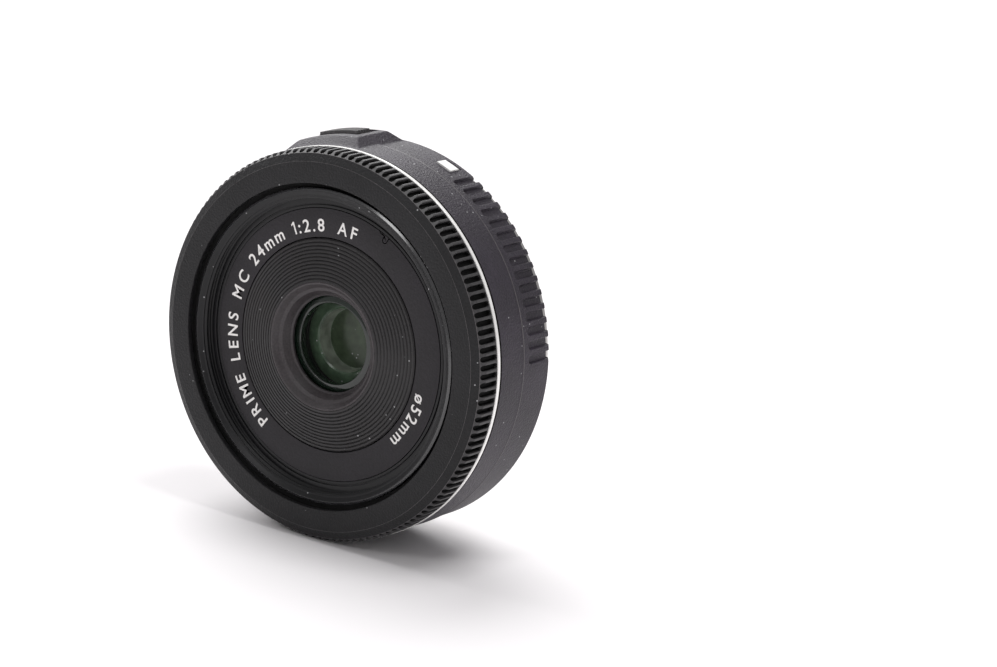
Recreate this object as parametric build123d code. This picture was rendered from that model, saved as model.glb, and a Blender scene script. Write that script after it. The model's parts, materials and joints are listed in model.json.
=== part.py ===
from build123d import *
import os
from math import atan2, cos, degrees, hypot, pi, radians, sin, sqrt, tan

# Wide pancake prime lens with a bayonet mount: 24 mm, f/2.8, 52 mm filter thread.
#
# Everything is modelled in the lens's own optical frame, in millimetres: the origin is the
# centre of the bayonet's seating plane, +Z runs forwards out of the front glass, and angles
# run anticlockwise seen from the front, from +X. put() turns each piece into the stored
# frame, where the lens stands on its rim: the front faces -Y and the camera side faces +Y.

os.makedirs("parts", exist_ok=True)

# ---------------------------------------------------------------- driving dimensions
BODY_R = 34.1             # largest radius: 68.2 mm diameter
FRONT_S = 22.8            # mounting plane to the front edge
REAR_R = 33.87            # rear half of the outer barrel
BARREL_TOP = 16.4         # front end of the outer barrel
SHELF_TOP = 3.4           # screw holes in its rear shelf end here
FLANGE_R = 32.3           # metal mount plate
FLANGE_T = 1.2            # its thickness
THROAT_R = 25.0           # bayonet tube, outside
LUG_R = 26.9              # over the bayonet lugs
THREAD_R = 26.0           # 52 mm filter thread, major radius
THREAD_PITCH = 0.75
RIM_R = 27.5              # outside of the moving inner barrel
TOP_ANGLE = 153.0         # which way is up when the lens is on a camera

KNURL_COUNT = 142         # ribs round the focus ring
KNURL_DEPTH = 0.65
SHOULDER_S = 20.95        # the ribs bend inwards here
LIP_R, LIP_S = 33.5, 21.9     # and end at this edge
FACE_R, FACE_S = 32.1, 22.6   # outer edge of the front face; the chamfer joins the two
GRIP_COUNT = 15           # grip grooves in each patch at the rear
GRIP_PITCH = 4.115        # degrees
GRIP_R = 0.8              # radius of the cutter
GRIP_OFFSET = 0.2         # the cutter's centre stands this far outside the barrel
GRIP_END = 7.4            # front end of the grooves

RUN = 0.05                # radial running clearance
EXTENSION = 5.0           # forward travel of the optical unit
CAM_TURN = 110.0          # turn of the cam ring that gives it
FOLLOWER_R = 0.75
SLOT_W = 2 * FOLLOWER_R + 0.12
FOLLOWER_S = 10.5         # height of the followers at infinity focus
FOLLOWER_ANGLES = (30.0, 150.0, 270.0)

CAM_TEETH = 107           # internal gear of the cam ring, a full circle's worth
CAM_MODULE = 0.5
DRIVE_TEETH = 12
FINE_MODULE = 0.4
REDUCTION_TEETH = 17
MOTOR_TEETH = 8
DRIVE_ANGLE = 200.0       # where the drive pinion meets the cam ring

BLADES = 7
BLADE_T = 0.07
BLADE_STEP = 0.14
BLADE_S = 8.05            # rear face of the rearmost blade
PIVOT_R = 10.2            # circle of the blade pivots
BLADE_TAIL = 2.4          # pivot to drive pin
BLADE_TURN = 23.0         # blade turn from open to the smallest stop
STOP_RING_TURN = 18.0     # turn of the ring that gives it
STOP_TEETH = 68           # gear sector of the aperture ring, a full circle's worth
STOP_PINION_TEETH = 10
STOP_MOTOR_ANGLE = 70.0

PAD_MIDDLE = 103.5        # raised pad round the focus-mode switch, degrees
PAD_TOP_R = 35.5
PAD_HALF = 10.5           # half of its flat top, degrees
PAD_TOP_S = (4.8, 13.4)
PAD_FEET = (13.7, 16.5)   # feet of its two end slopes, degrees off its middle
PAD_FEET_S = (2.6, 15.8)  # feet of its rear and front slopes

SWITCH_FROM = 95.5        # well that the focus-mode switch slides in, degrees
SWITCH_TURN = 14.0
WELL_R = 34.55            # floor of the well
WELL_S = (5.3, 11.4)
KNOB_S = (7.4, 11.2)      # the knob at its front stop, autofocus
KNOB_R = 36.1
KNOB_RIBS = 5
STEM_ANGLE = 101.0        # stem that passes into the barrel
STEM_TURN = 3.0


# ---------------------------------------------------------------- helpers
def polar(radius, angle, height=0.0):
    return (radius * cos(radians(angle)), radius * sin(radians(angle)), height)


def lathe(points, start=0.0, sweep=360.0):
    """Turn a closed outline of (radius, height) points about the optical axis."""
    outline = make_face(Polyline(*[(r, 0, s) for r, s in points], close=True))
    return Rot(0, 0, start) * revolve(outline, Axis.Z, sweep)


def ring(inner, outer, low, high, start=0.0, sweep=360.0):
    return lathe([(inner, low), (outer, low), (outer, high), (inner, high)], start, sweep)


def disc(radius, low, high, at=(0.0, 0.0)):
    return Pos(at[0], at[1], low) * extrude(Circle(radius), high - low)


def radial_peg(radius, angle, height, inner, outer):
    """A round peg that points straight out from the axis."""
    peg = Rot(0, 90, 0) * extrude(Circle(radius), outer - inner)
    return Rot(0, 0, angle) * (Pos(inner, 0, height) * peg)


def radial_box(angle, mid_r, mid_s, depth, width, tall, lean=0.0):
    """A box facing outwards at an angle: depth is radial, width is round, tall is axial."""
    block = Rot(lean, 0, 0) * Box(depth, width, tall)
    return Rot(0, 0, angle) * (Pos(mid_r, 0, mid_s) * block)


def around(shape, count):
    return [Rot(0, 0, 360.0 * i / count) * shape for i in range(count)]


def lens_element(radius, front_apex, front_edge, rear_apex, rear_edge, rear_radius=None):
    """A glass element with two spherical faces and a ground edge."""
    back = rear_radius or radius

    def half(apex, edge, reach):
        drop = apex - edge
        if abs(drop) < 1e-6:
            return [Line((0, 0, apex), (reach, 0, edge))]
        curve = (reach**2 + drop**2) / (2 * abs(drop))
        sag = curve - sqrt(curve**2 - (reach / 2) ** 2)
        middle = apex - sag * (1 if drop > 0 else -1)
        return [ThreePointArc((0, 0, apex), (reach / 2, 0, middle), (reach, 0, edge))]

    edges = half(front_apex, front_edge, radius)
    edges += [Line((radius, 0, front_edge), (radius, 0, rear_edge))]
    if back < radius:
        edges += [Line((radius, 0, rear_edge), (back, 0, rear_edge))]
    edges += half(rear_apex, rear_edge, back)
    edges += [Line((0, 0, rear_apex), (0, 0, front_apex))]
    return revolve(make_face(edges), Axis.Z)


def tooth(root_r, tip_r, root_w, tip_w):
    return Polygon((root_r, -root_w / 2), (tip_r, -tip_w / 2), (tip_r, tip_w / 2),
                   (root_r, root_w / 2), align=None)


def gear(teeth, module, low, high, first=0.0):
    """A spur gear about its own axis, with a tooth centred at the angle `first`."""
    pitch_r = teeth * module / 2
    thick = 0.40 * pi * module
    slope = tan(radians(20))
    root_r = pitch_r - 1.05 * module
    tip_r = pitch_r + 0.7 * module
    shape = tooth(root_r - 0.1, tip_r, thick + 2.0 * module * slope, thick - 1.4 * module * slope)
    face = Circle(root_r)
    for i in range(teeth):
        face += Rot(0, 0, first + 360.0 * i / teeth) * shape
    return Pos(0, 0, low) * extrude(face, high - low)


def screw(shank_r, head_r, head_t, length, countersunk=False):
    """A cross-head screw with its head's top at z = 0, pointing down."""
    if countersunk:
        body = lathe([(0, 0), (head_r, 0), (shank_r, -head_t), (shank_r, -length), (0, -length)])
    else:
        body = lathe([(0, 0), (head_r * 0.85, 0), (head_r, -head_t * 0.35), (head_r, -head_t),
                      (shank_r, -head_t), (shank_r, -length), (0, -length)])
    slot = Box(head_r * 1.1, head_r * 0.26, head_t * 0.9)
    return body - slot - Rot(0, 0, 90) * slot


def put(shape, name):
    """Stand the piece on the lens's rim, facing -Y, and write it."""
    if isinstance(shape, list):
        shape = shape[0] + shape[1:]
    export_step(Rot(90, 0, 0) * shape, f"parts/{name}.step")


# ---------------------------------------------------------------- outer barrel
def slope_at(height, top, foot):
    """Where a straight slope through two (height, place) points stands at another height."""
    return top[1] + (foot[1] - top[1]) * (height - top[0]) / (foot[0] - top[0])


def switch_boss():
    """The raised pad under the switch: a round top between four flat slopes."""
    half = radians(PAD_HALF)
    layers = []
    for height in (32.0, 35.7):
        sides = [slope_at(height, (PAD_TOP_R * cos(half), PAD_TOP_R * sin(half)),
                          (REAR_R * cos(radians(foot)), REAR_R * sin(radians(foot))))
                 for foot in PAD_FEET]
        low, high = [slope_at(height, (PAD_TOP_R, top), (REAR_R, foot))
                     for top, foot in zip(PAD_TOP_S, PAD_FEET_S)]
        middle = (height, (sides[1] - sides[0]) / 2, (low + high) / 2)
        plane = Plane(origin=middle, x_dir=(0, 1, 0), z_dir=(1, 0, 0))
        layers.append(plane * RectangleRounded(sum(sides), high - low, 0.8))
    pad = Rot(0, 0, PAD_MIDDLE) * loft(layers)
    return pad & ring(33.2, PAD_TOP_R, 2.2, 16.0)


def outer_barrel():
    shell = lathe([(33.15, FLANGE_T + 0.02), (REAR_R - 0.03, 2.15), (REAR_R, 2.3), (REAR_R, 9.55),
                   (34.05, 9.84), (34.0, 10.1), (34.0, BARREL_TOP - 0.15), (33.85, BARREL_TOP),
                   (33.1, BARREL_TOP), (33.1, 13.6), (32.4, 13.6), (32.4, 3.2), (27.6, 3.2),
                   (27.6, FLANGE_T + 0.02)])
    body = shell + switch_boss()
    body = body - ring(WELL_R, 37.0, *WELL_S, SWITCH_FROM, SWITCH_TURN)
    body = body - ring(31.0, WELL_R + 0.1, 6.2, 10.4, STEM_ANGLE - 0.3, STEM_TURN + 0.6)
    cuts = []
    for patch in (5.0, 185.0):
        for i in range(GRIP_COUNT):
            angle = patch + i * GRIP_PITCH
            x, y, _ = polar(REAR_R + GRIP_OFFSET, angle)
            cuts.append(disc(GRIP_R, 0.5, GRIP_END, (x, y)))
            cuts.append(Pos(x, y, GRIP_END) * Sphere(GRIP_R))
    body = body - cuts
    body = body - ring(33.5, 35.0, 2.99, 6.35, 67.45, 5.3)
    screws = [disc(0.62, 0.0, SHELF_TOP, polar(29.6, TOP_ANGLE + 45 + 90 * i)[:2])
              for i in range(4)]
    frame_screws = [disc(0.35, 0.0, SHELF_TOP, polar(31.2, 20 + 120 * i)[:2]) for i in range(3)]
    return body - screws - frame_screws


def index_mark():
    block = ring(33.52, 34.12, 3.1, 6.3, 67.5, 5.2)
    bevel = lathe([(33.4, 2.9), (34.3, 2.9), (34.3, 4.2), (33.4, 3.0)], 67.0, 6.5)
    return block - bevel


# ---------------------------------------------------------------- focus-mode switch
def switch_knob():
    """A ribbed thumb piece that slides along the barrel, with a stem through its floor."""
    low, high = KNOB_S
    start, turn = SWITCH_FROM + 0.5, SWITCH_TURN - 1.0
    knob = ring(WELL_R + RUN, KNOB_R - 0.45, low, high, start, turn)
    pitch = (high - low) / KNOB_RIBS
    for i in range(KNOB_RIBS):
        foot = low + i * pitch
        rib = lathe([(KNOB_R - 0.6, foot + 0.02), (KNOB_R - 0.1, foot + 0.12),
                     (KNOB_R, foot + 0.22), (KNOB_R, foot + pitch - 0.32),
                     (KNOB_R - 0.1, foot + pitch - 0.22), (KNOB_R - 0.6, foot + pitch - 0.12)],
                    start, turn)
        knob += rib
    return knob + ring(32.0, WELL_R + 0.15, 8.4, 10.2, STEM_ANGLE, STEM_TURN)


def switch_slider():
    """Clips onto the knob's stem inside the barrel and carries the wiper."""
    return ring(31.6, 32.0, 8.0, 10.6, STEM_ANGLE - 3.0, STEM_TURN + 6.0)


def switch_wiper():
    strip = ring(31.42, 31.58, 8.2, 10.4, STEM_ANGLE - 2.0, STEM_TURN + 4.0)
    fingers = [ring(31.2, 31.43, 8.6, 9.4, STEM_ANGLE - 1.6 + 2.4 * i, 1.2) for i in range(3)]
    return strip + fingers


def switch_board():
    return ring(30.65, 31.1, 5.6, 11.2, SWITCH_FROM - 4.0, SWITCH_TURN + 8.0)


# ---------------------------------------------------------------- bayonet mount
def bayonet_mount():
    plate = lathe([(23.6, -5.2), (THROAT_R - 0.3, -5.2), (THROAT_R, -4.9), (THROAT_R, 0.2),
                   (27.2, 0.2), (27.3, 0.0), (FLANGE_R - 0.2, 0.0), (FLANGE_R, 0.2),
                   (FLANGE_R, FLANGE_T), (23.6, FLANGE_T)])
    for i in range(3):
        plate += ring(THROAT_R - 0.4, LUG_R, -4.1, -2.7, TOP_ANGLE + 33 + 120 * i, 54.0)
    lock_hole = disc(1.3, -0.5, FLANGE_T + 0.5, polar(29.6, TOP_ANGLE - 90)[:2])
    plate -= lock_hole
    for i in range(4):
        place = Pos(*polar(29.6, TOP_ANGLE + 45 + 90 * i))
        plate -= place * lathe([(0, -0.1), (1.55, -0.1), (1.55, 0.02), (0.65, 0.92), (0.65, 2.0),
                                (0, 2.0)])
    contact_gate = ring(22.0, 24.4, -6.0, -0.6, TOP_ANGLE + 180 - 29, 58.0)
    return plate - contact_gate


def mount_screws():
    one = Rot(180, 0, 0) * screw(0.6, 1.45, 0.85, 3.0, countersunk=True)
    return [Pos(*polar(29.6, TOP_ANGLE + 45 + 90 * i, 0.03)) * one for i in range(4)]


def rear_light_baffle():
    """The black cup inside the bayonet, with a picture-shaped opening."""
    cup = lathe([(11.9, -4.9), (22.9, -4.9), (23.45, -4.4), (23.45, 1.1), (22.5, 1.1),
                 (22.5, -4.0), (11.9, -4.0)])
    back = disc(12.1, -4.9, -4.2) + ring(11.9, 12.2, -4.9, -4.0)
    wide, high = 19.0, 14.6
    window = Pos(0, 0, -5.5) * extrude(RectangleRounded(wide, high, 1.5), 3.0)
    cup = cup + back - Rot(0, 0, TOP_ANGLE - 90) * window
    for i in range(3):
        cup += ring(13.0 + 1.6 * i, 13.4 + 1.6 * i, -5.05, -4.85)
    contact_bay = ring(19.4, 26.0, -7.0, 3.0, TOP_ANGLE + 180 - 30, 60.0)
    cup = cup - contact_bay
    holes = [disc(0.5, -6.0, 0.0, polar(18.0, TOP_ANGLE + 30 + 120 * i)[:2]) for i in range(3)]
    return cup - holes


def baffle_screws():
    one = Rot(180, 0, 0) * screw(0.45, 0.95, 0.5, 2.2)
    return [Pos(*polar(18.0, TOP_ANGLE + 30 + 120 * i, -5.42)) * one for i in range(3)]


def contact_block():
    middle = TOP_ANGLE + 180
    block = ring(19.6, 23.5, -5.7, 1.0, middle - 27.5, 55.0)
    step = ring(21.6, 24.3, -5.0, -0.7, middle - 27.5, 55.0)
    block = block + step
    pin_angles = [middle - 20.3 + 5.8 * i for i in range(8)]
    holes = [disc(0.85, -7.0, 2.0, polar(22.4, a)[:2]) for a in pin_angles]
    screw_holes = [disc(0.4, -7.0, 2.0, polar(20.6, middle + a)[:2]) for a in (-22, 22)]
    return block - holes - screw_holes


def contact_pins():
    pin = lathe([(0, -6.35), (0.45, -6.3), (0.75, -6.0), (0.82, -5.75), (0.82, 0.4), (0.4, 0.4),
                 (0.4, 1.6), (0, 1.6)])
    middle = TOP_ANGLE + 180
    return [Pos(*polar(22.4, middle - 20.3 + 5.8 * i)) * pin for i in range(8)]


def contact_block_screws():
    one = Rot(180, 0, 0) * screw(0.38, 0.75, 0.4, 5.0)
    return [Pos(*polar(20.6, TOP_ANGLE + 180 + a, -6.12)) * one for a in (-22, 22)]


def contact_flex():
    middle = TOP_ANGLE + 180
    tail = ring(19.2, 19.38, 0.2, 2.2, middle - 12, 24.0)
    pad = ring(19.2, 21.7, 1.05, 1.2, middle - 12, 24.0)
    return tail + pad


# ---------------------------------------------------------------- fixed frame
def guide_barrel():
    tube = lathe([(29.15, 3.3), (31.9, 3.3), (31.9, 4.2), (30.5, 4.2), (30.5, 17.0),
                  (31.2, 17.6), (31.2, 18.35), (30.5, 18.35), (30.5, 20.05), (29.15, 20.05)])
    for angle in FOLLOWER_ANGLES:
        mid_s = FOLLOWER_S + EXTENSION / 2
        long = EXTENSION
        tube -= radial_box(angle, 30.0, mid_s, 4.0, SLOT_W, long)
        for end in (FOLLOWER_S, FOLLOWER_S + EXTENSION):
            tube -= radial_peg(SLOT_W / 2, angle, end, 28.0, 32.0)
    frame_screws = [disc(0.35, 0.0, 6.0, polar(31.2, 20 + 120 * i)[:2]) for i in range(3)]
    ring_screws = [disc(0.3, 18.0, 21.0, polar(29.85, 80 + 120 * i)[:2]) for i in range(3)]
    return tube - frame_screws - ring_screws


def rear_plate():
    """The fixed plate behind the mechanism, which carries the gears, motor and boards."""
    plate = lathe([(12.4, 2.3), (27.5, 2.3), (27.5, 3.1), (12.4, 3.1)])
    lip = ring(12.4, 13.0, 1.0, 2.4)
    plate = plate + lip
    for x, y in (drive_centre(), motor_centre()):
        plate -= disc(0.65, 2.0, 4.0, (x, y))
    holes = [disc(0.45, 1.5, 4.0, (x, y)) for x, y in bracket_posts()]
    posts = [disc(0.45, 1.5, 4.0, polar(24.6, a)[:2]) for a in (0, 120, 260)]
    return plate - holes - posts


def frame_screws():
    one = screw(0.32, 0.6, 0.35, 1.9)
    return [Pos(*polar(31.2, 20 + 120 * i, 4.58)) * one for i in range(3)]


def focus_ring_retainer():
    body = ring(28.95, 31.2, 20.1, 20.75)
    for i in range(3):
        body -= Pos(*polar(29.85, 80 + 120 * i, 20.8)) * disc(0.32, -2.0, 1.0)
    return body


def retainer_screws():
    one = screw(0.28, 0.62, 0.25, 1.9)
    return [Pos(*polar(29.85, 80 + 120 * i, 21.03)) * one for i in range(3)]


def light_seal():
    return ring(RIM_R + RUN, 28.9, 20.1, 20.7)


# ---------------------------------------------------------------- focus ring
def focus_ring():
    """Front lip, knurled band, inner bearing flange and the rear skirt."""
    floor_r = BODY_R - KNURL_DEPTH
    core = lathe([(28.4, FRONT_S - 0.08), (28.5, FRONT_S), (FACE_R, FACE_S), (LIP_R, LIP_S),
                  (LIP_R, LIP_S - 0.2), (floor_r, LIP_S - 0.3), (floor_r, 17.7), (32.95, 17.7), (32.95, 14.6), (32.3, 14.6), (32.3, 18.45),
                  (30.55, 18.45), (30.55, 19.95), (31.9, 19.95), (31.9, 21.1), (28.4, 21.85)])
    pitch = 360.0 / KNURL_COUNT
    outline = []
    for i in range(KNURL_COUNT):
        for radius, part in ((floor_r - 0.3, -0.5), (floor_r - 0.3, -0.27), (BODY_R - 0.05, -0.18),
                             (BODY_R, -0.13), (BODY_R, 0.13), (BODY_R - 0.05, 0.18),
                             (floor_r - 0.3, 0.27)):
            outline.append(polar(radius, (i + part) * pitch)[:2])
    band = Pos(0, 0, 17.7) * extrude(Polygon(*outline, align=None), 4.3)
    envelope = lathe([(33.0, 17.7), (BODY_R - 0.1, 17.7), (BODY_R, 17.85), (BODY_R, SHOULDER_S),
                      (LIP_R - 0.06, LIP_S - 0.015), (33.2, LIP_S - 0.1), (33.0, 21.0)])
    return core + (band & envelope)


def silver_ring():
    return lathe([(33.0, 16.74), (34.05, 16.74), (34.2, 16.9), (34.2, 17.5), (34.08, 17.64),
                  (33.0, 17.64)])


def encoder_comb():
    """The slotted ring that the two optical sensors read when the focus ring turns."""
    band = ring(31.75, 32.25, 15.0, 18.3)
    teeth = []
    for i in range(72):
        teeth.append(ring(31.6, 32.4, 14.0, 16.4, 5.0 * i, 2.5))
    return band - teeth


def light_barriers():
    """The home sensor, and two sensors on the guide barrel that straddle the comb."""
    parts = [home_sensor()]
    for angle in (230.0, 238.8):
        base = ring(30.6, 32.2, 11.8, 13.6, angle, 5.0)
        inner = ring(30.6, 31.45, 13.5, 16.2, angle, 5.0)
        parts.append(base + inner)
    return parts


# ---------------------------------------------------------------- cam ring and focus drive
def cam_slot(angle):
    """A helical slot as straight runs laid round the ring; it climbs as the ring turns."""
    mid_r = 28.4
    runs = 22
    turn = CAM_TURN / runs
    climb = EXTENSION / runs
    chord = 2 * mid_r * tan(radians(turn / 2))
    lean = degrees(atan2(climb, chord))
    pieces = []
    for i in range(runs):
        at = angle - (i + 0.5) * turn
        mid_s = FOLLOWER_S + (i + 0.5) * climb
        width = hypot(chord, climb) + 0.1
        pieces.append(radial_box(at, mid_r, mid_s, 3.0, width, SLOT_W, -lean))
    ends = ((angle, FOLLOWER_S), (angle - CAM_TURN, FOLLOWER_S + EXTENSION))
    for at, mid_s in ends:
        pieces.append(radial_peg(SLOT_W / 2, at, mid_s, 26.9, 29.9))
    return pieces


def cam_ring():
    """The turning ring whose helical slots drive the followers, geared on its inside."""
    low, high = 3.4, 5.4
    pitch_r = CAM_TEETH * CAM_MODULE / 2
    root_r = pitch_r + 1.05 * CAM_MODULE
    tip_r = pitch_r - 0.7 * CAM_MODULE
    thick = 0.40 * pi * CAM_MODULE
    slope = tan(radians(20))
    tube = ring(27.75, 29.15 - RUN, low, 20.0)
    tube += ring(root_r, 28.0, low, high, DRIVE_ANGLE - CAM_TURN - 10, CAM_TURN + 20)
    shape = tooth(root_r + 0.3, tip_r, thick + 2.7 * CAM_MODULE * slope,
                  thick - 1.4 * CAM_MODULE * slope)
    one = extrude(Plane.XY.offset(low) * shape, high - low, dir=(0, 0, 1))
    step = 360.0 / CAM_TEETH
    first = -int((CAM_TURN + 8) / step)
    last = int(8 / step)
    tube += [Rot(0, 0, DRIVE_ANGLE + step * (i + 0.5)) * one for i in range(first, last)]
    for angle in FOLLOWER_ANGLES:
        tube -= cam_slot(angle)
    return tube


def drive_centre():
    reach = (CAM_TEETH - DRIVE_TEETH) * CAM_MODULE / 2
    return polar(reach, DRIVE_ANGLE)[:2]


def motor_centre():
    """Where a circle round the drive shaft meets the motor's own circle."""
    reach = (CAM_TEETH - DRIVE_TEETH) * CAM_MODULE / 2
    motor_r = 21.3
    gap = (REDUCTION_TEETH + MOTOR_TEETH) * FINE_MODULE / 2
    cosine = (reach**2 + motor_r**2 - gap**2) / (2 * reach * motor_r)
    spread = degrees(atan2(sqrt(1 - cosine**2), cosine))
    return polar(motor_r, DRIVE_ANGLE + spread)[:2]


def bracket_posts():
    return [polar(17.2, DRIVE_ANGLE + 2)[:2], polar(17.6, DRIVE_ANGLE + 34)[:2]]


def mesh_direction():
    (ax, ay), (bx, by) = drive_centre(), motor_centre()
    return degrees(atan2(by - ay, bx - ax))


def drive_gear():
    """Reduction wheel and drive pinion on one shaft."""
    shaft = disc(0.6, 2.4, 7.5)
    pinion = gear(DRIVE_TEETH, CAM_MODULE, 3.6, 5.2, DRIVE_ANGLE)
    wheel = gear(REDUCTION_TEETH, FINE_MODULE, 5.6, 6.4, mesh_direction())
    x, y = drive_centre()
    return Pos(x, y, 0) * (shaft + pinion + wheel)


def focus_motor_rotor():
    step = 360.0 / MOTOR_TEETH
    pinion = gear(MOTOR_TEETH, FINE_MODULE, 5.5, 6.6, mesh_direction() + 180 + step / 2)
    shaft = disc(0.6, 2.4, 12.0)
    magnet = disc(2.0, 8.4, 11.6)
    x, y = motor_centre()
    return Pos(x, y, 0) * (pinion + shaft + magnet)


def focus_motor():
    can = disc(3.5, 7.75, 12.6) - disc(2.3, 8.2, 11.8) - disc(0.65, 7.0, 12.2)
    lugs = Pos(0, 0, 7.75) * extrude(SlotOverall(9.0, 2.2), 0.4) - disc(2.5, 7.0, 9.0)
    x, y = motor_centre()
    return Pos(x, y, 0) * (can + lugs)


def gearbox_bracket():
    x, y = drive_centre()
    mx, my = motor_centre()
    plate = disc(2.6, 7.0, 7.7, (x, y)) + disc(4.0, 7.0, 7.7, (mx, my))
    for px, py in bracket_posts():
        plate += disc(1.5, 7.0, 7.7, (px, py))
        plate += disc(1.1, 3.15, 7.2, (px, py))
    web = [(x, y), (mx, my), bracket_posts()[1], bracket_posts()[0]]
    plate += Pos(0, 0, 7.0) * extrude(make_face(Polyline(*web, close=True)), 0.7)
    plate -= disc(0.65, 6.0, 8.0, (x, y))
    plate -= disc(1.4, 6.0, 8.0, (mx, my))
    for px, py in bracket_posts():
        plate -= disc(0.42, 3.0, 8.0, (px, py))
    return plate & disc(27.0, 0.0, 20.0)


def bracket_screws():
    one = screw(0.4, 0.9, 0.4, 5.2)
    return [Pos(px, py, 8.12) * one for px, py in bracket_posts()]


# ---------------------------------------------------------------- electronics
def main_board():
    sweep = 250.0
    board = ring(13.4, 25.8, 3.2, 3.9, 250.0, sweep)
    for angle in (0, 120, 260):
        board -= disc(0.45, 2.0, 5.0, polar(24.6, angle)[:2])
    return board


def board_chips():
    chips = []
    places = ((18.5, 285, 5.0, 5.0), (20.0, 318, 3.2, 4.2), (17.5, 345, 2.4, 3.0),
              (20.5, 15, 6.0, 6.0), (18.0, 48, 3.0, 3.0), (21.0, 66, 2.2, 4.0),
              (17.8, 90, 4.0, 4.0), (21.5, 112, 2.0, 3.0))
    for radius, angle, depth, width in places:
        chips.append(radial_box(angle, radius, 4.35, depth, width, 0.85))
    return chips


def board_screws():
    one = screw(0.4, 0.9, 0.4, 1.6)
    return [Pos(*polar(24.6, a, 4.32)) * one for a in (0, 120, 260)]


def home_sensor():
    """Light barrier that finds the optical unit's home position."""
    base = radial_box(140.0, 23.0, 4.6, 3.0, 4.4, 1.2)
    for radius in (22.0, 24.05):
        base += radial_box(140.0, radius, 6.2, 0.9, 4.4, 2.2)
    return base


# ---------------------------------------------------------------- moving optical unit
def inner_barrel():
    """Front rim with the filter thread, the front plate, the sleeve and the front lens cell."""
    crest = THREAD_R - 0.41
    turns = []
    top = 21.55
    while top - THREAD_PITCH > 19.85:
        turns += [(THREAD_R, top - 0.1), (THREAD_R, top - 0.2), (crest, top - 0.33),
                  (crest, top - THREAD_PITCH + 0.1)]
        top -= THREAD_PITCH
    outline = [(26.75, 9.0), (RIM_R, 9.0), (RIM_R, 21.8), (27.35, 21.95), (26.95, 21.95),
               (26.5, 21.65)] + turns
    outline += [(25.5, 19.7), (24.6, 19.7), (24.6, 19.45), (24.35, 19.45), (24.35, 19.7),
                (23.85, 19.7), (23.85, 18.85), (18.9, 18.85), (18.9, 18.0), (10.25, 17.6),
                (10.25, 17.9), (9.7, 17.9), (9.7, 12.5), (8.6, 12.5), (8.6, 10.65), (10.8, 10.65),
                (10.8, 16.6), (26.75, 16.9)]
    body = lathe(outline)
    for i in range(3):
        x, y, _ = polar(15.4, 10 + 120 * i)
        body += disc(1.1, 10.6, 16.8, (x, y))
        body -= disc(0.35, 9.0, 15.0, (x, y))
    for angle in FOLLOWER_ANGLES:
        body -= radial_peg(0.5, angle, FOLLOWER_S, 26.0, 28.0)
    return body


def cam_followers():
    pegs = []
    for angle in FOLLOWER_ANGLES:
        peg = radial_peg(FOLLOWER_R, angle, FOLLOWER_S, RIM_R + 0.02, 30.35)
        peg += radial_peg(0.5, angle, FOLLOWER_S, 26.85, RIM_R + 0.1)
        pegs.append(peg)
    return pegs


def name_ring():
    plate = lathe([(18.72, 18.9), (23.78, 18.9), (23.78, 19.72), (23.7, 19.8), (18.8, 19.8),
                   (18.72, 19.72)])
    notch = Pos(0, 0, 18.0) * extrude(Rot(0, 0, 62.5) * Pos(23.3, 0) * SlotOverall(2.2, 1.1), 3.0)
    step = ring(23.45, 24.5, 18.0, 21.0, 62.5, 3.6)
    return plate - notch - step


def front_cover():
    """The ridged cone round the front glass, with a smooth funnel inside it."""
    ridges = 12
    outer_r, crown_r = 18.55, 11.15
    outer_s, crown_s = 19.85, 21.45
    outline = [(18.55, 18.95), (outer_r, outer_s)]
    for i in range(ridges):
        low, high = i / ridges, (i + 1) / ridges
        for part, rise in ((low + 0.06, 0.16), (high - 0.02, 0.04)):
            outline.append((outer_r + (crown_r - outer_r) * part,
                            outer_s + (crown_s - outer_s) * part + rise - 0.12))
    outline += [(crown_r, crown_s), (10.95, crown_s), (10.2, 20.55), (9.75, 20.35), (8.75, 18.9),
                (8.4, 18.7), (8.4, 18.25), (8.9, 18.25), (9.3, 18.9), (10.9, 20.2), (18.0, 18.5),
                (18.0, 18.1), (18.55, 18.1)]
    return lathe(outline)


def front_retainer():
    body = lathe([(9.0, 17.95), (10.2, 17.95), (10.2, 18.22), (9.2, 18.22), (9.0, 18.1)])
    for angle in (0, 180):
        body -= radial_box(angle, 10.0, 18.2, 0.9, 0.8, 0.3)
    return body


def front_glass():
    return lens_element(9.65, 18.85, 17.65, 17.3, 15.9, 7.4)


def lens_spacer():
    return lathe([(8.0, 14.45), (9.6, 14.35), (9.6, 15.85), (7.6, 15.85)])


def second_glass():
    return lens_element(9.6, 15.3, 14.2, 11.6, 12.55, 8.4)


def rear_cell():
    """The tube behind the aperture that holds the rear groups."""
    body = lathe([(6.2, 7.15), (6.2, 6.75), (7.05, 6.75), (7.05, 3.2), (6.3, 3.2), (6.3, 2.9),
                  (8.05, 2.9), (8.05, 0.9), (7.4, 0.9), (7.4, 0.5), (9.65, 0.1), (9.65, -2.9),
                  (10.9, -2.9), (11.2, -2.6), (11.2, 1.2), (9.2, 2.2), (9.2, 5.6), (11.6, 5.9),
                  (11.6, 7.15)])
    for i in range(3):
        x, y, _ = polar(10.4, 40 + 120 * i)
        body -= disc(0.35, 6.0, 8.0, (x, y))
    return body


def doublet_front():
    return lens_element(7.0, 6.55, 5.6, 4.3, 5.0)


def doublet_rear():
    return lens_element(7.0, 4.28, 4.98, 3.5, 3.25)


def fifth_glass():
    return lens_element(8.0, 2.75, 2.1, 0.6, 1.1)


def rear_glass():
    return lens_element(9.6, -0.3, 0.0, -2.3, -1.5)


def rear_glass_retainer():
    return lathe([(8.7, -2.85), (9.62, -2.85), (9.62, -1.95), (8.9, -1.95)])


# ---------------------------------------------------------------- aperture
def blade_phase(index):
    return 360.0 * index / BLADES


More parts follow.
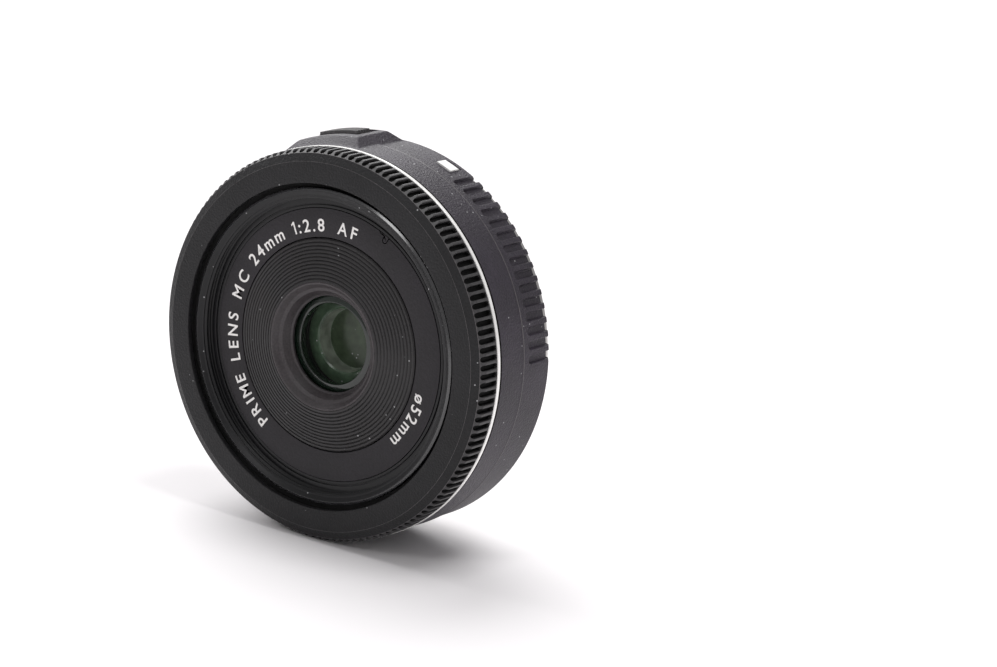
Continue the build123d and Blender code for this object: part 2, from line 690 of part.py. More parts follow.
def aperture_base():
    body = disc(14.8, 7.2, 7.9) - disc(4.75, 7.0, 8.0)
    body += ring(13.75, 14.3, 7.2, 9.9, 100, 300)
    for i in range(3):
        x, y, _ = polar(15.4, 10 + 120 * i)
        body += disc(1.35, 7.2, 9.9, (x, y))
        body -= disc(0.42, 7.0, 11.0, (x, y))
    for i in range(BLADES):
        x, y, _ = polar(PIVOT_R, blade_phase(i))
        body -= disc(0.45, 7.0, 8.0, (x, y))
    for i in range(3):
        x, y, _ = polar(10.4, 40 + 120 * i)
        body -= disc(0.4, 7.0, 7.55, (x, y))
    return body


def blade(index):
    """A crescent with a pivot pin at the rear and a drive pin at the front of its tail."""
    low = BLADE_S + BLADE_STEP * index
    inner_r, outer_r, reach = 5.0, 9.4, 104.0
    tip_r = (inner_r + outer_r) / 2 + 0.6
    crescent = make_face([
        RadiusArc((outer_r, 0), polar(outer_r, reach)[:2], -outer_r, short_sagitta=True),
        Line(polar(outer_r, reach)[:2], polar(tip_r, reach + 6)[:2]),
        Line(polar(tip_r, reach + 6)[:2], polar(inner_r, reach)[:2]),
        RadiusArc(polar(inner_r, reach)[:2], (inner_r, 0), inner_r, short_sagitta=True),
        Line((inner_r, 0), (outer_r, 0)),
    ])
    dx, dy = PIVOT_R, -BLADE_TAIL
    heel = make_hull((Pos(PIVOT_R, 0) * Circle(0.75)).edges() + (Pos(dx, dy) * Circle(0.6)).edges())
    neck = make_hull((Pos(PIVOT_R, 0) * Circle(0.75)).edges() + (Pos(8.2, 2.2) * Circle(1.1)).edges())
    flat = Pos(0, 0, low) * extrude(crescent + heel + neck, BLADE_T)
    pivot = disc(0.4, 7.3, low + BLADE_T, (PIVOT_R, 0))
    drive = disc(0.4, low, 9.7, (dx, dy))
    return Rot(0, 0, blade_phase(index)) * (flat + pivot + drive)


def stop_slot_path(steps=8):
    """Drive-pin positions seen from the turning aperture ring, from open to closed."""
    points = []
    for i in range(steps + 1):
        part = i / steps
        turn = radians(BLADE_TURN * part)
        x = PIVOT_R + BLADE_TAIL * sin(turn)
        y = -BLADE_TAIL * cos(turn)
        back = radians(-STOP_RING_TURN * part)
        points.append((x * cos(back) - y * sin(back), x * sin(back) + y * cos(back)))
    return points


def stop_slot(half=0.46):
    """One curved slot: the drive pin's path widened on both sides, with round ends."""
    path = stop_slot_path()
    left, right = [], []
    for i, (x, y) in enumerate(path):
        ax, ay = path[max(i - 1, 0)]
        bx, by = path[min(i + 1, len(path) - 1)]
        long = hypot(bx - ax, by - ay)
        nx, ny = (ay - by) / long * half, (bx - ax) / long * half
        left.append((x + nx, y + ny))
        right.append((x - nx, y - ny))
    face = Polygon(*left, *reversed(right), align=None)
    return face + Pos(*path[0]) * Circle(half) + Pos(*path[-1]) * Circle(half)


def aperture_ring():
    """The ring whose slots swing all the blades together, with a gear sector on its rim."""
    low, high = 9.15, 9.75
    body = ring(9.3 + RUN, 13.0, low, high)
    slot = Pos(0, 0, 9.0) * extrude(stop_slot(), 1.0, dir=(0, 0, 1))
    body -= around(slot, BLADES)
    pitch_r = STOP_TEETH * FINE_MODULE / 2
    thick = 0.40 * pi * FINE_MODULE
    slope = tan(radians(20))
    shape = tooth(12.9, pitch_r + 0.7 * FINE_MODULE, thick + 2.0 * FINE_MODULE * slope,
                  thick - 1.4 * FINE_MODULE * slope)
    step = 360.0 / STOP_TEETH
    face = Sketch()
    for i in range(-5, 2):
        face += Rot(0, 0, STOP_MOTOR_ANGLE + i * step) * shape
    return body + Pos(0, 0, low) * extrude(face, high - low)


def stop_motor_centre():
    return polar((STOP_TEETH + STOP_PINION_TEETH) * FINE_MODULE / 2, STOP_MOTOR_ANGLE)[:2]


def aperture_cover():
    body = disc(14.8, 9.95, 10.5) - disc(8.3, 9.0, 11.0)
    body += ring(8.75, 9.3, 9.12, 10.2)
    x, y = stop_motor_centre()
    body += disc(3.3, 9.95, 10.5, (x, y))
    body -= disc(2.5, 9.0, 11.0, (x, y))
    for i in range(3):
        px, py, _ = polar(15.4, 10 + 120 * i)
        body += disc(1.35, 9.95, 10.5, (px, py))
        body -= disc(0.42, 9.0, 11.0, (px, py))
    for i in range(BLADES):
        body -= Rot(0, 0, blade_phase(i)) * ring(10.0, 12.4, 9.0, 9.9, -34, 4)
    return body


def aperture_motor_rotor():
    step = 360.0 / STOP_PINION_TEETH
    pinion = gear(STOP_PINION_TEETH, FINE_MODULE, 9.1, 9.85, STOP_MOTOR_ANGLE + 180 + step / 2)
    x, y = stop_motor_centre()
    return Pos(x, y, 0) * (pinion + disc(0.5, 9.1, 15.0) + disc(1.5, 11.4, 14.4))


def aperture_motor():
    x, y = stop_motor_centre()
    can = disc(2.9, 10.55, 15.6) - disc(1.7, 11.1, 14.7) - disc(0.55, 10.0, 15.2)
    return Pos(x, y, 0) * can


def aperture_screws():
    one = Rot(180, 0, 0) * screw(0.33, 0.8, 0.35, 7.0)
    return [Pos(*polar(15.4, 10 + 120 * i, 6.83)) * one for i in range(3)]


# ---------------------------------------------------------------- write every piece
PIECES = {
    "outer_barrel": outer_barrel, "mount_index_mark": index_mark,
    "focus_mode_switch_knob": switch_knob, "switch_slider": switch_slider,
    "switch_wiper": switch_wiper, "switch_board": switch_board,
    "bayonet_mount": bayonet_mount, "mount_screws": mount_screws,
    "rear_light_baffle": rear_light_baffle, "baffle_screws": baffle_screws,
    "contact_block": contact_block, "contact_pins": contact_pins,
    "contact_block_screws": contact_block_screws, "contact_flex": contact_flex,
    "guide_barrel": guide_barrel, "rear_plate": rear_plate, "frame_screws": frame_screws,
    "focus_ring_retainer": focus_ring_retainer, "retainer_screws": retainer_screws,
    "light_seal": light_seal, "focus_ring": focus_ring, "silver_ring": silver_ring,
    "encoder_comb": encoder_comb, "light_barriers": light_barriers, "cam_ring": cam_ring,
    "drive_gear": drive_gear, "focus_motor_rotor": focus_motor_rotor,
    "focus_motor": focus_motor, "gearbox_bracket": gearbox_bracket,
    "bracket_screws": bracket_screws, "main_board": main_board, "board_chips": board_chips,
    "board_screws": board_screws, "inner_barrel": inner_barrel,
    "cam_followers": cam_followers, "name_ring": name_ring, "front_cover": front_cover,
    "front_retainer": front_retainer, "front_glass": front_glass, "lens_spacer": lens_spacer,
    "second_glass": second_glass, "rear_cell": rear_cell, "doublet_front": doublet_front,
    "doublet_rear": doublet_rear, "fifth_glass": fifth_glass, "rear_glass": rear_glass,
    "rear_glass_retainer": rear_glass_retainer, "aperture_base": aperture_base,
    "aperture_ring": aperture_ring, "aperture_cover": aperture_cover,
    "aperture_motor": aperture_motor, "aperture_motor_rotor": aperture_motor_rotor,
    "aperture_screws": aperture_screws,
}

for node, make in PIECES.items():
    put(make(), node)
for number in range(BLADES):
    put(blade(number), f"aperture_blade_{number + 1}")
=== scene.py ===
import json
from math import atan2, ceil, cos, degrees, exp, hypot, log, pi, radians, sin, sqrt, tan

import bmesh
import bpy
from mathutils import Matrix, Vector


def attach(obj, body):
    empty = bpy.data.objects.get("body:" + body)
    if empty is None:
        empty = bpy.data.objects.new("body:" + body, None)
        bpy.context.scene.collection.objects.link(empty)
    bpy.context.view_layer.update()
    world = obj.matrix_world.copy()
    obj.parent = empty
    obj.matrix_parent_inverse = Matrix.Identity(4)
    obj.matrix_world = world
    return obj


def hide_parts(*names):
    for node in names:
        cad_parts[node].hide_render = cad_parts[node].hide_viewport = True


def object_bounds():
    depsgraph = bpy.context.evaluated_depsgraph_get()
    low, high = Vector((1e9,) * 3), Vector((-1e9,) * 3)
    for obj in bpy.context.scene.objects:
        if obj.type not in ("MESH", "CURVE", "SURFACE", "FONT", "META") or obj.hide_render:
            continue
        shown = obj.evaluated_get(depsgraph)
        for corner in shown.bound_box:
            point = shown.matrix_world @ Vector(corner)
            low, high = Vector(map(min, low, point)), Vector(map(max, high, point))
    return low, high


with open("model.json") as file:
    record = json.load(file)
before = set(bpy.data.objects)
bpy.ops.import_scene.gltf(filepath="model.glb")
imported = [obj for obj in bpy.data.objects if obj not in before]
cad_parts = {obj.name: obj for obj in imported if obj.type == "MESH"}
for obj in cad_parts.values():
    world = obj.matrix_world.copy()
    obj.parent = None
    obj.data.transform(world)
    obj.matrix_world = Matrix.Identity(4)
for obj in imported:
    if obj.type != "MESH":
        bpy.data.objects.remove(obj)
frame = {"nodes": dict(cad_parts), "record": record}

cad_box = [list(corner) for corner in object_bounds()]

# The lens's own frame: s is the distance in mm ahead of the mounting plane (row -Y), r the
# distance from the optical axis, and angles run anticlockwise seen from the front, from +X.
MM = 0.001
BODY_R = 34.1
FRONT_S = 22.8
KNURLS = 142
KNURL_DEPTH = 0.8
REAR_R = 33.87


def place(r, angle, s):
    """Row coordinates, in metres, of a point given in the lens's own frame (angle in degrees)."""
    a = radians(angle)
    return Vector((r * cos(a) * MM, -s * MM, r * sin(a) * MM))


def smooth(x, low, high):
    """0 below low, 1 above high, eased between them."""
    t = min(max((x - low) / (high - low), 0.0), 1.0)
    return t * t * (3 - 2 * t)


def plateau(x, low, high, edge):
    """1 between low and high, falling smoothly to 0 within `edge` outside them."""
    return smooth(x, low - edge, low) * (1 - smooth(x, high, high + edge))


# ------------------------------------------------------------------ mesh helpers
def new_object(name, verts, faces, materials, flat_angle=32.0):
    mesh = bpy.data.meshes.new(name)
    mesh.from_pydata([tuple(v) for v in verts], [], faces)
    bm = bmesh.new()
    bm.from_mesh(mesh)
    bmesh.ops.remove_doubles(bm, verts=bm.verts, dist=1e-7)
    bmesh.ops.recalc_face_normals(bm, faces=bm.faces)
    bm.to_mesh(mesh)
    bm.free()
    obj = bpy.data.objects.new(name, mesh)
    bpy.context.scene.collection.objects.link(obj)
    for material in materials:
        mesh.materials.append(material)
    mesh.shade_smooth()
    mesh.set_sharp_from_angle(angle=radians(flat_angle))
    return obj


def rounded(points, radius=0.12, steps=4):
    """Closed outline of (r, s) points with each corner rounded; a third value sets its radius."""
    out = []
    count = len(points)
    for i, point in enumerate(points):
        here = Vector(point[:2])
        before = Vector(points[i - 1][:2])
        after = Vector(points[(i + 1) % count][:2])
        size = point[2] if len(point) > 2 else radius
        to_before, to_after = before - here, after - here
        turn = pi - to_before.angle(to_after) if to_before.length * to_after.length > 0 else 0
        reach = size * tan(turn / 2) if turn > 0.02 else 0
        reach = min(reach, to_before.length * 0.45, to_after.length * 0.45)
        if reach < 1e-4:
            out.append((here.x, here.y))
            continue
        start = here + to_before.normalized() * reach
        end = here + to_after.normalized() * reach
        for k in range(steps + 1):
            t = k / steps
            spot = start * (1 - t) ** 2 + here * 2 * t * (1 - t) + end * t * t
            out.append((spot.x, spot.y))
    return out


def spread(outline, longest, where):
    """Adds points to the stretches of a closed outline for which where(r, s, r2, s2) is true."""
    out = []
    for i, (r, s) in enumerate(outline):
        r2, s2 = outline[(i + 1) % len(outline)]
        long = hypot(r2 - r, s2 - s)
        parts = max(1, ceil(long / longest)) if where(r, s, r2, s2) else 1
        out += [(r + (r2 - r) * k / parts, s + (s2 - s) * k / parts) for k in range(parts)]
    return out


def lathe(name, outline, materials, segments=512, shift=None, angles=None, flat_angle=32.0):
    """Closed ring swept from an outline; shift(r, s, angle) may move each of its points."""
    angles = angles or [360.0 * i / segments for i in range(segments)]
    rows, cols = len(outline), len(angles)
    verts = []
    for angle in angles:
        for r, s in outline:
            if shift:
                r, s = shift(r, s, angle)
            verts.append(place(r, angle, s))
    faces = []
    for i in range(cols):
        j = (i + 1) % cols
        for k in range(rows):
            m = (k + 1) % rows
            faces.append((i * rows + k, i * rows + m, j * rows + m, j * rows + k))
    return new_object(name, verts, faces, materials, flat_angle)


def paint(obj, where, index):
    """Gives a material slot to the faces for whose middle where(r, s, angle) is true."""
    for poly in obj.data.polygons:
        x, y, z = poly.center / MM
        if where(hypot(x, z), -y, degrees(atan2(z, x)) % 360):
            poly.material_index = index


def dome(name, outline, materials, segments=256):
    """Solid of revolution whose outline starts and ends on the axis."""
    verts, faces = [], []
    inner = outline[1:-1]
    rows = len(inner)
    for i in range(segments):
        verts += [place(r, 360.0 * i / segments, s) for r, s in inner]
    verts += [place(0, 0, outline[0][1]), place(0, 0, outline[-1][1])]
    first, last = len(verts) - 2, len(verts) - 1
    for i in range(segments):
        j = (i + 1) % segments
        faces.append((first, i * rows, j * rows))
        faces.append((last, j * rows + rows - 1, i * rows + rows - 1))
        for k in range(rows - 1):
            faces.append((i * rows + k, i * rows + k + 1, j * rows + k + 1, j * rows + k))
    return new_object(name, verts, faces, materials)


# ------------------------------------------------------------------ materials
def node_material(name):
    material = bpy.data.materials.new(name)
    material.use_nodes = True
    tree = material.node_tree
    shader = tree.nodes["Principled BSDF"]
    coords = tree.nodes.new("ShaderNodeTexCoord")
    return material, tree, shader, coords.outputs["Object"]


def add(tree, kind, **values):
    node = tree.nodes.new(kind)
    for key, value in values.items():
        if key in node.inputs:
            node.inputs[key].default_value = value
        else:
            setattr(node, key, value)
    return node


def noise(tree, coords, scale, detail=3.0, rough=0.5):
    node = add(tree, "ShaderNodeTexNoise", Scale=scale, Detail=detail, Roughness=rough)
    tree.links.new(coords, node.inputs["Vector"])
    return node.outputs["Fac"]


def ramp(tree, value, stops):
    node = tree.nodes.new("ShaderNodeValToRGB")
    while len(node.color_ramp.elements) < len(stops):
        node.color_ramp.elements.new(0.5)
    for element, (position, color) in zip(node.color_ramp.elements, stops):
        element.position = position
        element.color = (*color, 1.0) if len(color) == 3 else color
    tree.links.new(value, node.inputs["Fac"])
    return node.outputs["Color"]


def grey(value, tint=(1.0, 1.0, 1.0)):
    return tuple(value * t for t in tint)


def bump(tree, height, strength, distance, chain=None):
    node = add(tree, "ShaderNodeBump", Strength=strength, Distance=distance)
    tree.links.new(height, node.inputs["Height"])
    if chain:
        tree.links.new(chain, node.inputs["Normal"])
    return node.outputs["Normal"]


DUST_CELLS = 700.0
DUST_EDGE = (0.06, 0.12)
DUST_LIMIT = 0.72         # a cell shows a speck if its random value is above this less the dust
DUST_COLOR = (0.4, 0.4, 0.41, 1.0)
PALE_LEVEL = 0.3          # plastics paler than this are nearly even in tone


def plastic(name, level, tint=(1.0, 1.0, 1.0), roughness=0.5, grain=2600.0, grain_depth=0.00002,
            dust=0.0, specular=0.5):
    """Moulded plastic, and anything else unplated: fine grain, uneven tone and a little dust."""
    material, tree, shader, coords = node_material(name)
    broad = noise(tree, coords, 90.0, 4.0, 0.6)
    fine = noise(tree, coords, grain, 2.0, 0.6)
    mottle = add(tree, "ShaderNodeMath", operation="MULTIPLY")
    tree.links.new(broad, mottle.inputs[0])
    tree.links.new(fine, mottle.inputs[1])
    vary = 0.45 if level < PALE_LEVEL else 0.06
    tone = ramp(tree, mottle.outputs[0], [(0.1, grey(level * (1 - vary), tint)),
                                          (0.42, grey(level * (1 + vary), tint))])
    if dust:
        specks = add(tree, "ShaderNodeTexVoronoi", Scale=DUST_CELLS, Randomness=1.0)
        tree.links.new(coords, specks.inputs["Vector"])
        near = ramp(tree, specks.outputs["Distance"], [(DUST_EDGE[0], (1, 1, 1)), (DUST_EDGE[1], (0, 0, 0))])
        chance = add(tree, "ShaderNodeMath", operation="GREATER_THAN")
        tree.links.new(specks.outputs["Color"], chance.inputs[0])
        chance.inputs[1].default_value = DUST_LIMIT - dust
        both = add(tree, "ShaderNodeMath", operation="MULTIPLY")
        tree.links.new(near, both.inputs[0])
        tree.links.new(chance.outputs[0], both.inputs[1])
        mix = add(tree, "ShaderNodeMix", data_type="RGBA")
        tree.links.new(both.outputs[0], mix.inputs["Factor"])
        tree.links.new(tone, mix.inputs[6])
        mix.inputs[7].default_value = DUST_COLOR
        tone = mix.outputs[2]
    tree.links.new(tone, shader.inputs["Base Color"])
    rough = add(tree, "ShaderNodeMapRange")
    tree.links.new(fine, rough.inputs["Value"])
    rough.inputs["To Min"].default_value = roughness * 0.85
    rough.inputs["To Max"].default_value = roughness * 1.2
    tree.links.new(rough.outputs[0], shader.inputs["Roughness"])
    tree.links.new(bump(tree, fine, 0.6, grain_depth), shader.inputs["Normal"])
    shader.inputs["Specular IOR Level"].default_value = specular
    return material


def metal(name, color, roughness, streak=(900.0, 900.0, 900.0), variation=0.1, metallic=1.0):
    """Turned or plated metal: streaks along the lathe marks, with uneven polish."""
    material, tree, shader, coords = node_material(name)
    scale = add(tree, "ShaderNodeVectorMath", operation="MULTIPLY")
    tree.links.new(coords, scale.inputs[0])
    scale.inputs[1].default_value = streak
    lines = add(tree, "ShaderNodeTexNoise", Scale=1.0, Detail=3.0, Roughness=0.6)
    tree.links.new(scale.outputs[0], lines.inputs["Vector"])
    tone = ramp(tree, lines.outputs["Fac"], [(0.25, tuple(c * (1 - variation) for c in color)),
                                             (0.75, tuple(min(1, c * (1 + variation)) for c in color))])
    tree.links.new(tone, shader.inputs["Base Color"])
    shader.inputs["Metallic"].default_value = metallic
    rough = add(tree, "ShaderNodeMapRange")
    tree.links.new(lines.outputs["Fac"], rough.inputs["Value"])
    rough.inputs["To Min"].default_value = roughness * 0.75
    rough.inputs["To Max"].default_value = roughness * 1.3
    tree.links.new(rough.outputs[0], shader.inputs["Roughness"])
    tree.links.new(bump(tree, lines.outputs["Fac"], 0.3, 0.00001), shader.inputs["Normal"])
    return material


MATERIALS = {
    "black_plastic": plastic("barrel_plastic", 0.022, (1.12, 0.86, 1.32), 0.5, dust=0.12,
                             grain_depth=0.0003, specular=0.45),
    # Lighter copy of the barrel plastic, used for thin painted highlight lines on edges and crests.
    "edge_highlight_plastic": plastic("painted_edge_highlight", 0.085, (1.06, 0.96, 1.0), 0.45),
    "ring_plastic": plastic("focus_ring_plastic", 0.008, (1.0, 0.96, 1.1), 0.52, dust=0.2,
                            grain_depth=0.0003, specular=0.36),
    # Lighter copy of the focus ring plastic for the rib crests: painted highlight where the ribs catch the
    # key light.
    "rib_highlight_plastic": plastic("rib_crest_painted_highlight", 0.036, (1.02, 0.97, 1.02), 0.48),
    "knob_plastic": plastic("switch_knob_plastic", 0.07, (1.03, 0.97, 1.0), 0.45, dust=0.1),
    # Near-black copy used as painted shade: groove floors, grip notch bottoms and the gap beside the trim
    # ring.
    "painted_shade_plastic": plastic("groove_painted_shade", 0.003, roughness=0.7, specular=0.2),
    "rim_plastic": plastic("inner_barrel_plastic", 0.005, (0.96, 0.95, 1.15), 0.36, dust=0.05,
                           specular=0.32),
    # Lighter, glossier copy of the inner barrel plastic for its front rim: painted highlight arc.
    "rim_highlight_edge": plastic("inner_barrel_painted_highlight", 0.03, (0.98, 0.97, 1.05), 0.17, grain_depth=0.000004,
                        specular=1.0),
    "cover_plastic": plastic("name_ring_plastic", 0.01, (1.12, 0.9, 1.2), 0.42, dust=0.1,
                             grain_depth=0.00008, specular=0.33),
    "cone_plastic": plastic("ridged_cone_plastic", 0.014, (1.06, 0.96, 1.02), 0.4, dust=0.06,
                            specular=0.45),
    # Lighter than the cone plastic: painted sheen on the funnel around the glass.
    "funnel_sheen_plastic": plastic("funnel_sheen_plastic", 0.04, (1.1, 0.93, 1.0), 0.45, dust=0.04),
    "frame_plastic": plastic("frame_plastic", 0.02, roughness=0.62),
    "chip_black": plastic("contact_block_plastic", 0.015, roughness=0.45),
    "gear_plastic": plastic("natural_acetal", 0.62, (1.0, 0.98, 0.9), 0.4, grain=900.0),
    "mark_white": plastic("index_mark_plastic", 0.8, (1.0, 0.995, 0.98), 0.4, grain=1200.0),
    "board_green": plastic("solder_mask", 0.12, (0.2, 1.0, 0.45), 0.35, grain=700.0),
    "flex_amber": plastic("polyimide_film", 0.4, (1.0, 0.5, 0.1), 0.3, grain=700.0),
    "felt_black": plastic("light_trap_felt", 0.008, roughness=0.95, grain=4000.0, grain_depth=0.0001),
    "print_white": plastic("white_print", 0.86, (1.0, 0.98, 0.96), 0.55, grain=3000.0),
    "silver_trim": metal("bright_trim", (0.97, 0.96, 0.94), 0.25, (60.0, 5000.0, 60.0), 0.03, 0.25),
    "mount_metal": metal("mount_plating", (0.5, 0.49, 0.48), 0.32, (300.0, 3000.0, 300.0)),
    "screw_steel": metal("bright_screw", (0.5, 0.5, 0.5), 0.3, (2000.0, 2000.0, 2000.0)),
    "dark_screw": metal("black_screw", (0.09, 0.09, 0.1), 0.35, (2000.0, 2000.0, 2000.0)),
    "motor_metal": metal("motor_can", (0.6, 0.6, 0.6), 0.3, (200.0, 2500.0, 200.0)),
    "rotor_metal": metal("brass_rotor", (0.72, 0.55, 0.28), 0.28, (1500.0, 1500.0, 1500.0)),
    "contact_gold": metal("gold_plating", (0.95, 0.7, 0.32), 0.2, (1500.0, 1500.0, 1500.0), 0.05),
    "follower_brass": metal("turned_brass", (0.78, 0.6, 0.3), 0.3, (1500.0, 1500.0, 1500.0)),
    "blade_black": metal("blade_coating", (0.05, 0.05, 0.055), 0.5, (1200.0, 1200.0, 1200.0)),
    # Opaque glass: its dark green tone is the coating together with painted shade of the optics behind it.
    "lens_glass": plastic("coated_glass_painted_depth", 0.01, (0.6, 1.2, 0.8), 0.09, grain=500.0,
                          grain_depth=0.000001, dust=0.25, specular=0.7),
    # Opaque stand-in for the optics inside: its tone is raised as painted light, lifting the shade of the
    # recess.
    "painted_depth_glass": plastic("optics_painted_depth", 0.085, (0.72, 1.12, 0.72), 0.22, grain=500.0,
                          grain_depth=0.000002, dust=0.2, specular=0.3),
    # Lighter disc in the middle of the optics: painted reflection of the rear element, with dust specks.
    "pupil_painted_reflection": plastic("pupil_optics_painted_reflection", 0.05, (0.82, 1.2, 0.68), 0.2, grain=500.0,
                           grain_depth=0.000002, dust=0.45, specular=0.3),
    # Pale ring round the pupil: painted highlight, the lighter crescent on its edge.
    "pupil_painted_highlight": plastic("pupil_edge_painted_highlight", 0.24, (0.92, 1.05, 0.85), 0.3, grain=500.0, grain_depth=0.000002),
}


# ------------------------------------------------------------------ focus ring
KNURL_PITCH = 2 * pi * BODY_R / KNURLS
GROOVE_HALF = 0.35 * KNURL_PITCH
RIB_START_S = 17.7
GROOVE_ENDS = (17.72, 21.9)
FLANK = 0.13
SHOULDER_S = 20.95
LIP = (33.5, 21.9)
FACE_EDGE = (32.1, 22.6)


def groove_depth(angle, s):
    """Depth of the round-ended grooves between the focus ring's ribs."""
    off = abs((angle * KNURLS / 360.0) % 1.0 - 0.5) * KNURL_PITCH
    past = max(0.0, GROOVE_ENDS[0] + GROOVE_HALF - s, s - GROOVE_ENDS[1] + GROOVE_HALF)
    return KNURL_DEPTH * (1 - smooth(hypot(off, past), GROOVE_HALF - FLANK, GROOVE_HALF))


def focus_ring():
    outline = rounded([
        (28.4, FRONT_S, 0.15), (*FACE_EDGE, 0.12), (*LIP, 0.16), (BODY_R, SHOULDER_S, 0.5),
        (BODY_R, RIB_START_S, 0.08),
        (32.95, RIB_START_S), (32.95, 14.6), (32.3, 14.6), (32.3, 18.45), (30.55, 18.45),
        (30.55, 19.95), (31.9, 19.95), (31.9, 21.1), (28.4, 21.85)], 0.08)
    fine = spread(outline, 0.11, lambda r, s, r2, s2: max(r, r2) > 33.4 and min(s, s2) >= 17.6)

    def groove(r, s, angle):
        floor = BODY_R - groove_depth(angle, s)
        return (min(r, floor), s) if r > 33.0 and 17.65 < s < LIP[1] else (r, s)

    step = 360.0 / KNURLS
    marks = (0.0, 0.1, 0.16, 0.19, 0.22, 0.25, 0.29, 0.35, 0.42)
    marks += (0.5,) + tuple(1 - mark for mark in marks[:0:-1])
    angles = [(i + part) * step for i in range(KNURLS) for part in marks]
    skins = [MATERIALS[name] for name in ("ring_plastic", "edge_highlight_plastic", "rib_highlight_plastic", "painted_shade_plastic")]
    obj = lathe("ribbed_focus_ring", fine, skins, shift=groove, angles=angles)
    # Rib crests get the lighter copy: painted highlight.
    paint(obj, lambda r, s, a: r > 33.3 and RIB_START_S < s < GROOVE_ENDS[1], 2)
    # Groove floors get the near-black copy: painted shade.
    paint(obj, lambda r, s, a: 17.75 < s < 21.85 and r > 32.9 and groove_depth(a, s) > 0.35, 3)
    # The lip and the edge of the front face get thin painted highlight lines.
    paint(obj, lambda r, s, a: abs(r - LIP[0]) < 0.07 and abs(s - LIP[1]) < 0.07, 1)
    paint(obj, lambda r, s, a: abs(r - FACE_EDGE[0]) < 0.06 and s > 22.5, 1)
    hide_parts("focus_ring")
    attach(obj, "focus_ring_assembly")


def silver_ring():
    outline = rounded([(33.0, 16.74), (33.7, 16.8, 0.06), (34.15, 16.9, 0.06), (34.18, 17.5, 0.08),
                       (33.9, 17.62, 0.08), (33.0, 17.64)], 0.1, 6)
    obj = lathe("polished_trim_ring", outline, [MATERIALS["silver_trim"]], 720)
    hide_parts("silver_ring")
    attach(obj, "focus_ring_assembly")


# ------------------------------------------------------------------ outer barrel
GRIP_COUNT, GRIP_STEP = 15, 4.115
GRIPS = [patch + i * GRIP_STEP for patch in (5.0, 185.0) for i in range(GRIP_COUNT)]
GRIP_HALF, GRIP_DEPTH, GRIP_END = 0.78, 0.6, 7.4

PAD_MIDDLE, PAD_HALF, PAD_TOP = 103.5, 10.5, 35.5
PAD_FEET = {-1: 13.7, 1: 16.5}
PAD_TOP_S, PAD_FEET_S = (4.8, 13.4), (2.6, 15.8)
WELL_ANGLES, WELL_S, WELL_R = (95.5, 109.5), (5.3, 11.4), 34.55
MARK_ANGLES, MARK_S, MARK_DEPTH = (67.5, 72.7), (3.05, 6.3), 0.35
EASE = 12.0               # how tightly the pad's foot turns into the barrel, per mm


def grip_depth(angle, s):
    """Depth of the grip grooves: flat slots with round ends, open towards the mount."""
    near = min(GRIPS, key=lambda g: abs((angle - g + 180) % 360 - 180))
    off = radians(abs((angle - near + 180) % 360 - 180)) * REAR_R
    if off > GRIP_HALF:
        return 0.0
    reach = hypot(off, max(0.0, s - GRIP_END))
    return GRIP_DEPTH * (1 - smooth(reach, GRIP_HALF - 0.2, GRIP_HALF))


def slope_radius(off, foot):
    """Radius of the flat slope at one end of the pad, on a ray `off` degrees from its middle."""
    half, foot, off = radians(PAD_HALF), radians(foot), radians(off)
    x1, y1 = PAD_TOP * cos(half), PAD_TOP * sin(half)
    x2, y2 = REAR_R * cos(foot), REAR_R * sin(foot)
    lean = (y2 - y1) / (x2 - x1)
    return (y1 - lean * x1) / (sin(off) - lean * cos(off))


def pad_radius(angle, s):
    """The raised switch pad: the lowest of its round top and its four slopes, edges eased."""
    off = angle - PAD_MIDDLE
    fall = PAD_TOP - REAR_R
    tops = [PAD_TOP,
            PAD_TOP - fall * (s - PAD_TOP_S[1]) / (PAD_FEET_S[1] - PAD_TOP_S[1]),
            PAD_TOP - fall * (PAD_TOP_S[0] - s) / (PAD_TOP_S[0] - PAD_FEET_S[0])]
    if abs(off) > 2.0:
        tops.append(slope_radius(abs(off), PAD_FEET[1 if off > 0 else -1]))
    sharp = 14.0
    lowest = min(tops)
    return lowest - log(sum(exp(-sharp * (t - lowest)) for t in tops)) / sharp


def barrel_shift(r, s, angle):
    """Cuts the grips, raises the pad with its well, and sinks the seat of the index mark."""
    if r > 33.0 and s < 2.2:
        return r - grip_depth(angle, s) * (1 + 0.75 * max(0.0, 2.15 - s)), s
    if r < 33.3:
        return r, s
    r -= grip_depth(angle, s)
    if 86 < angle < 122 and 2.2 < s < 16.1:
        gap = pad_radius(angle, s) - r
        r += log(1 + exp(gap * EASE)) / EASE if gap < 2 else gap
        well = plateau(angle, *WELL_ANGLES, 0.12) * plateau(s, *WELL_S, 0.07)
        r += (WELL_R - r) * well
    if 67.3 < angle < 72.9 and 2.9 < s < 6.5:
        r -= MARK_DEPTH * plateau(angle, *MARK_ANGLES, 0.1) * plateau(s, *MARK_S, 0.06)
    return r, s


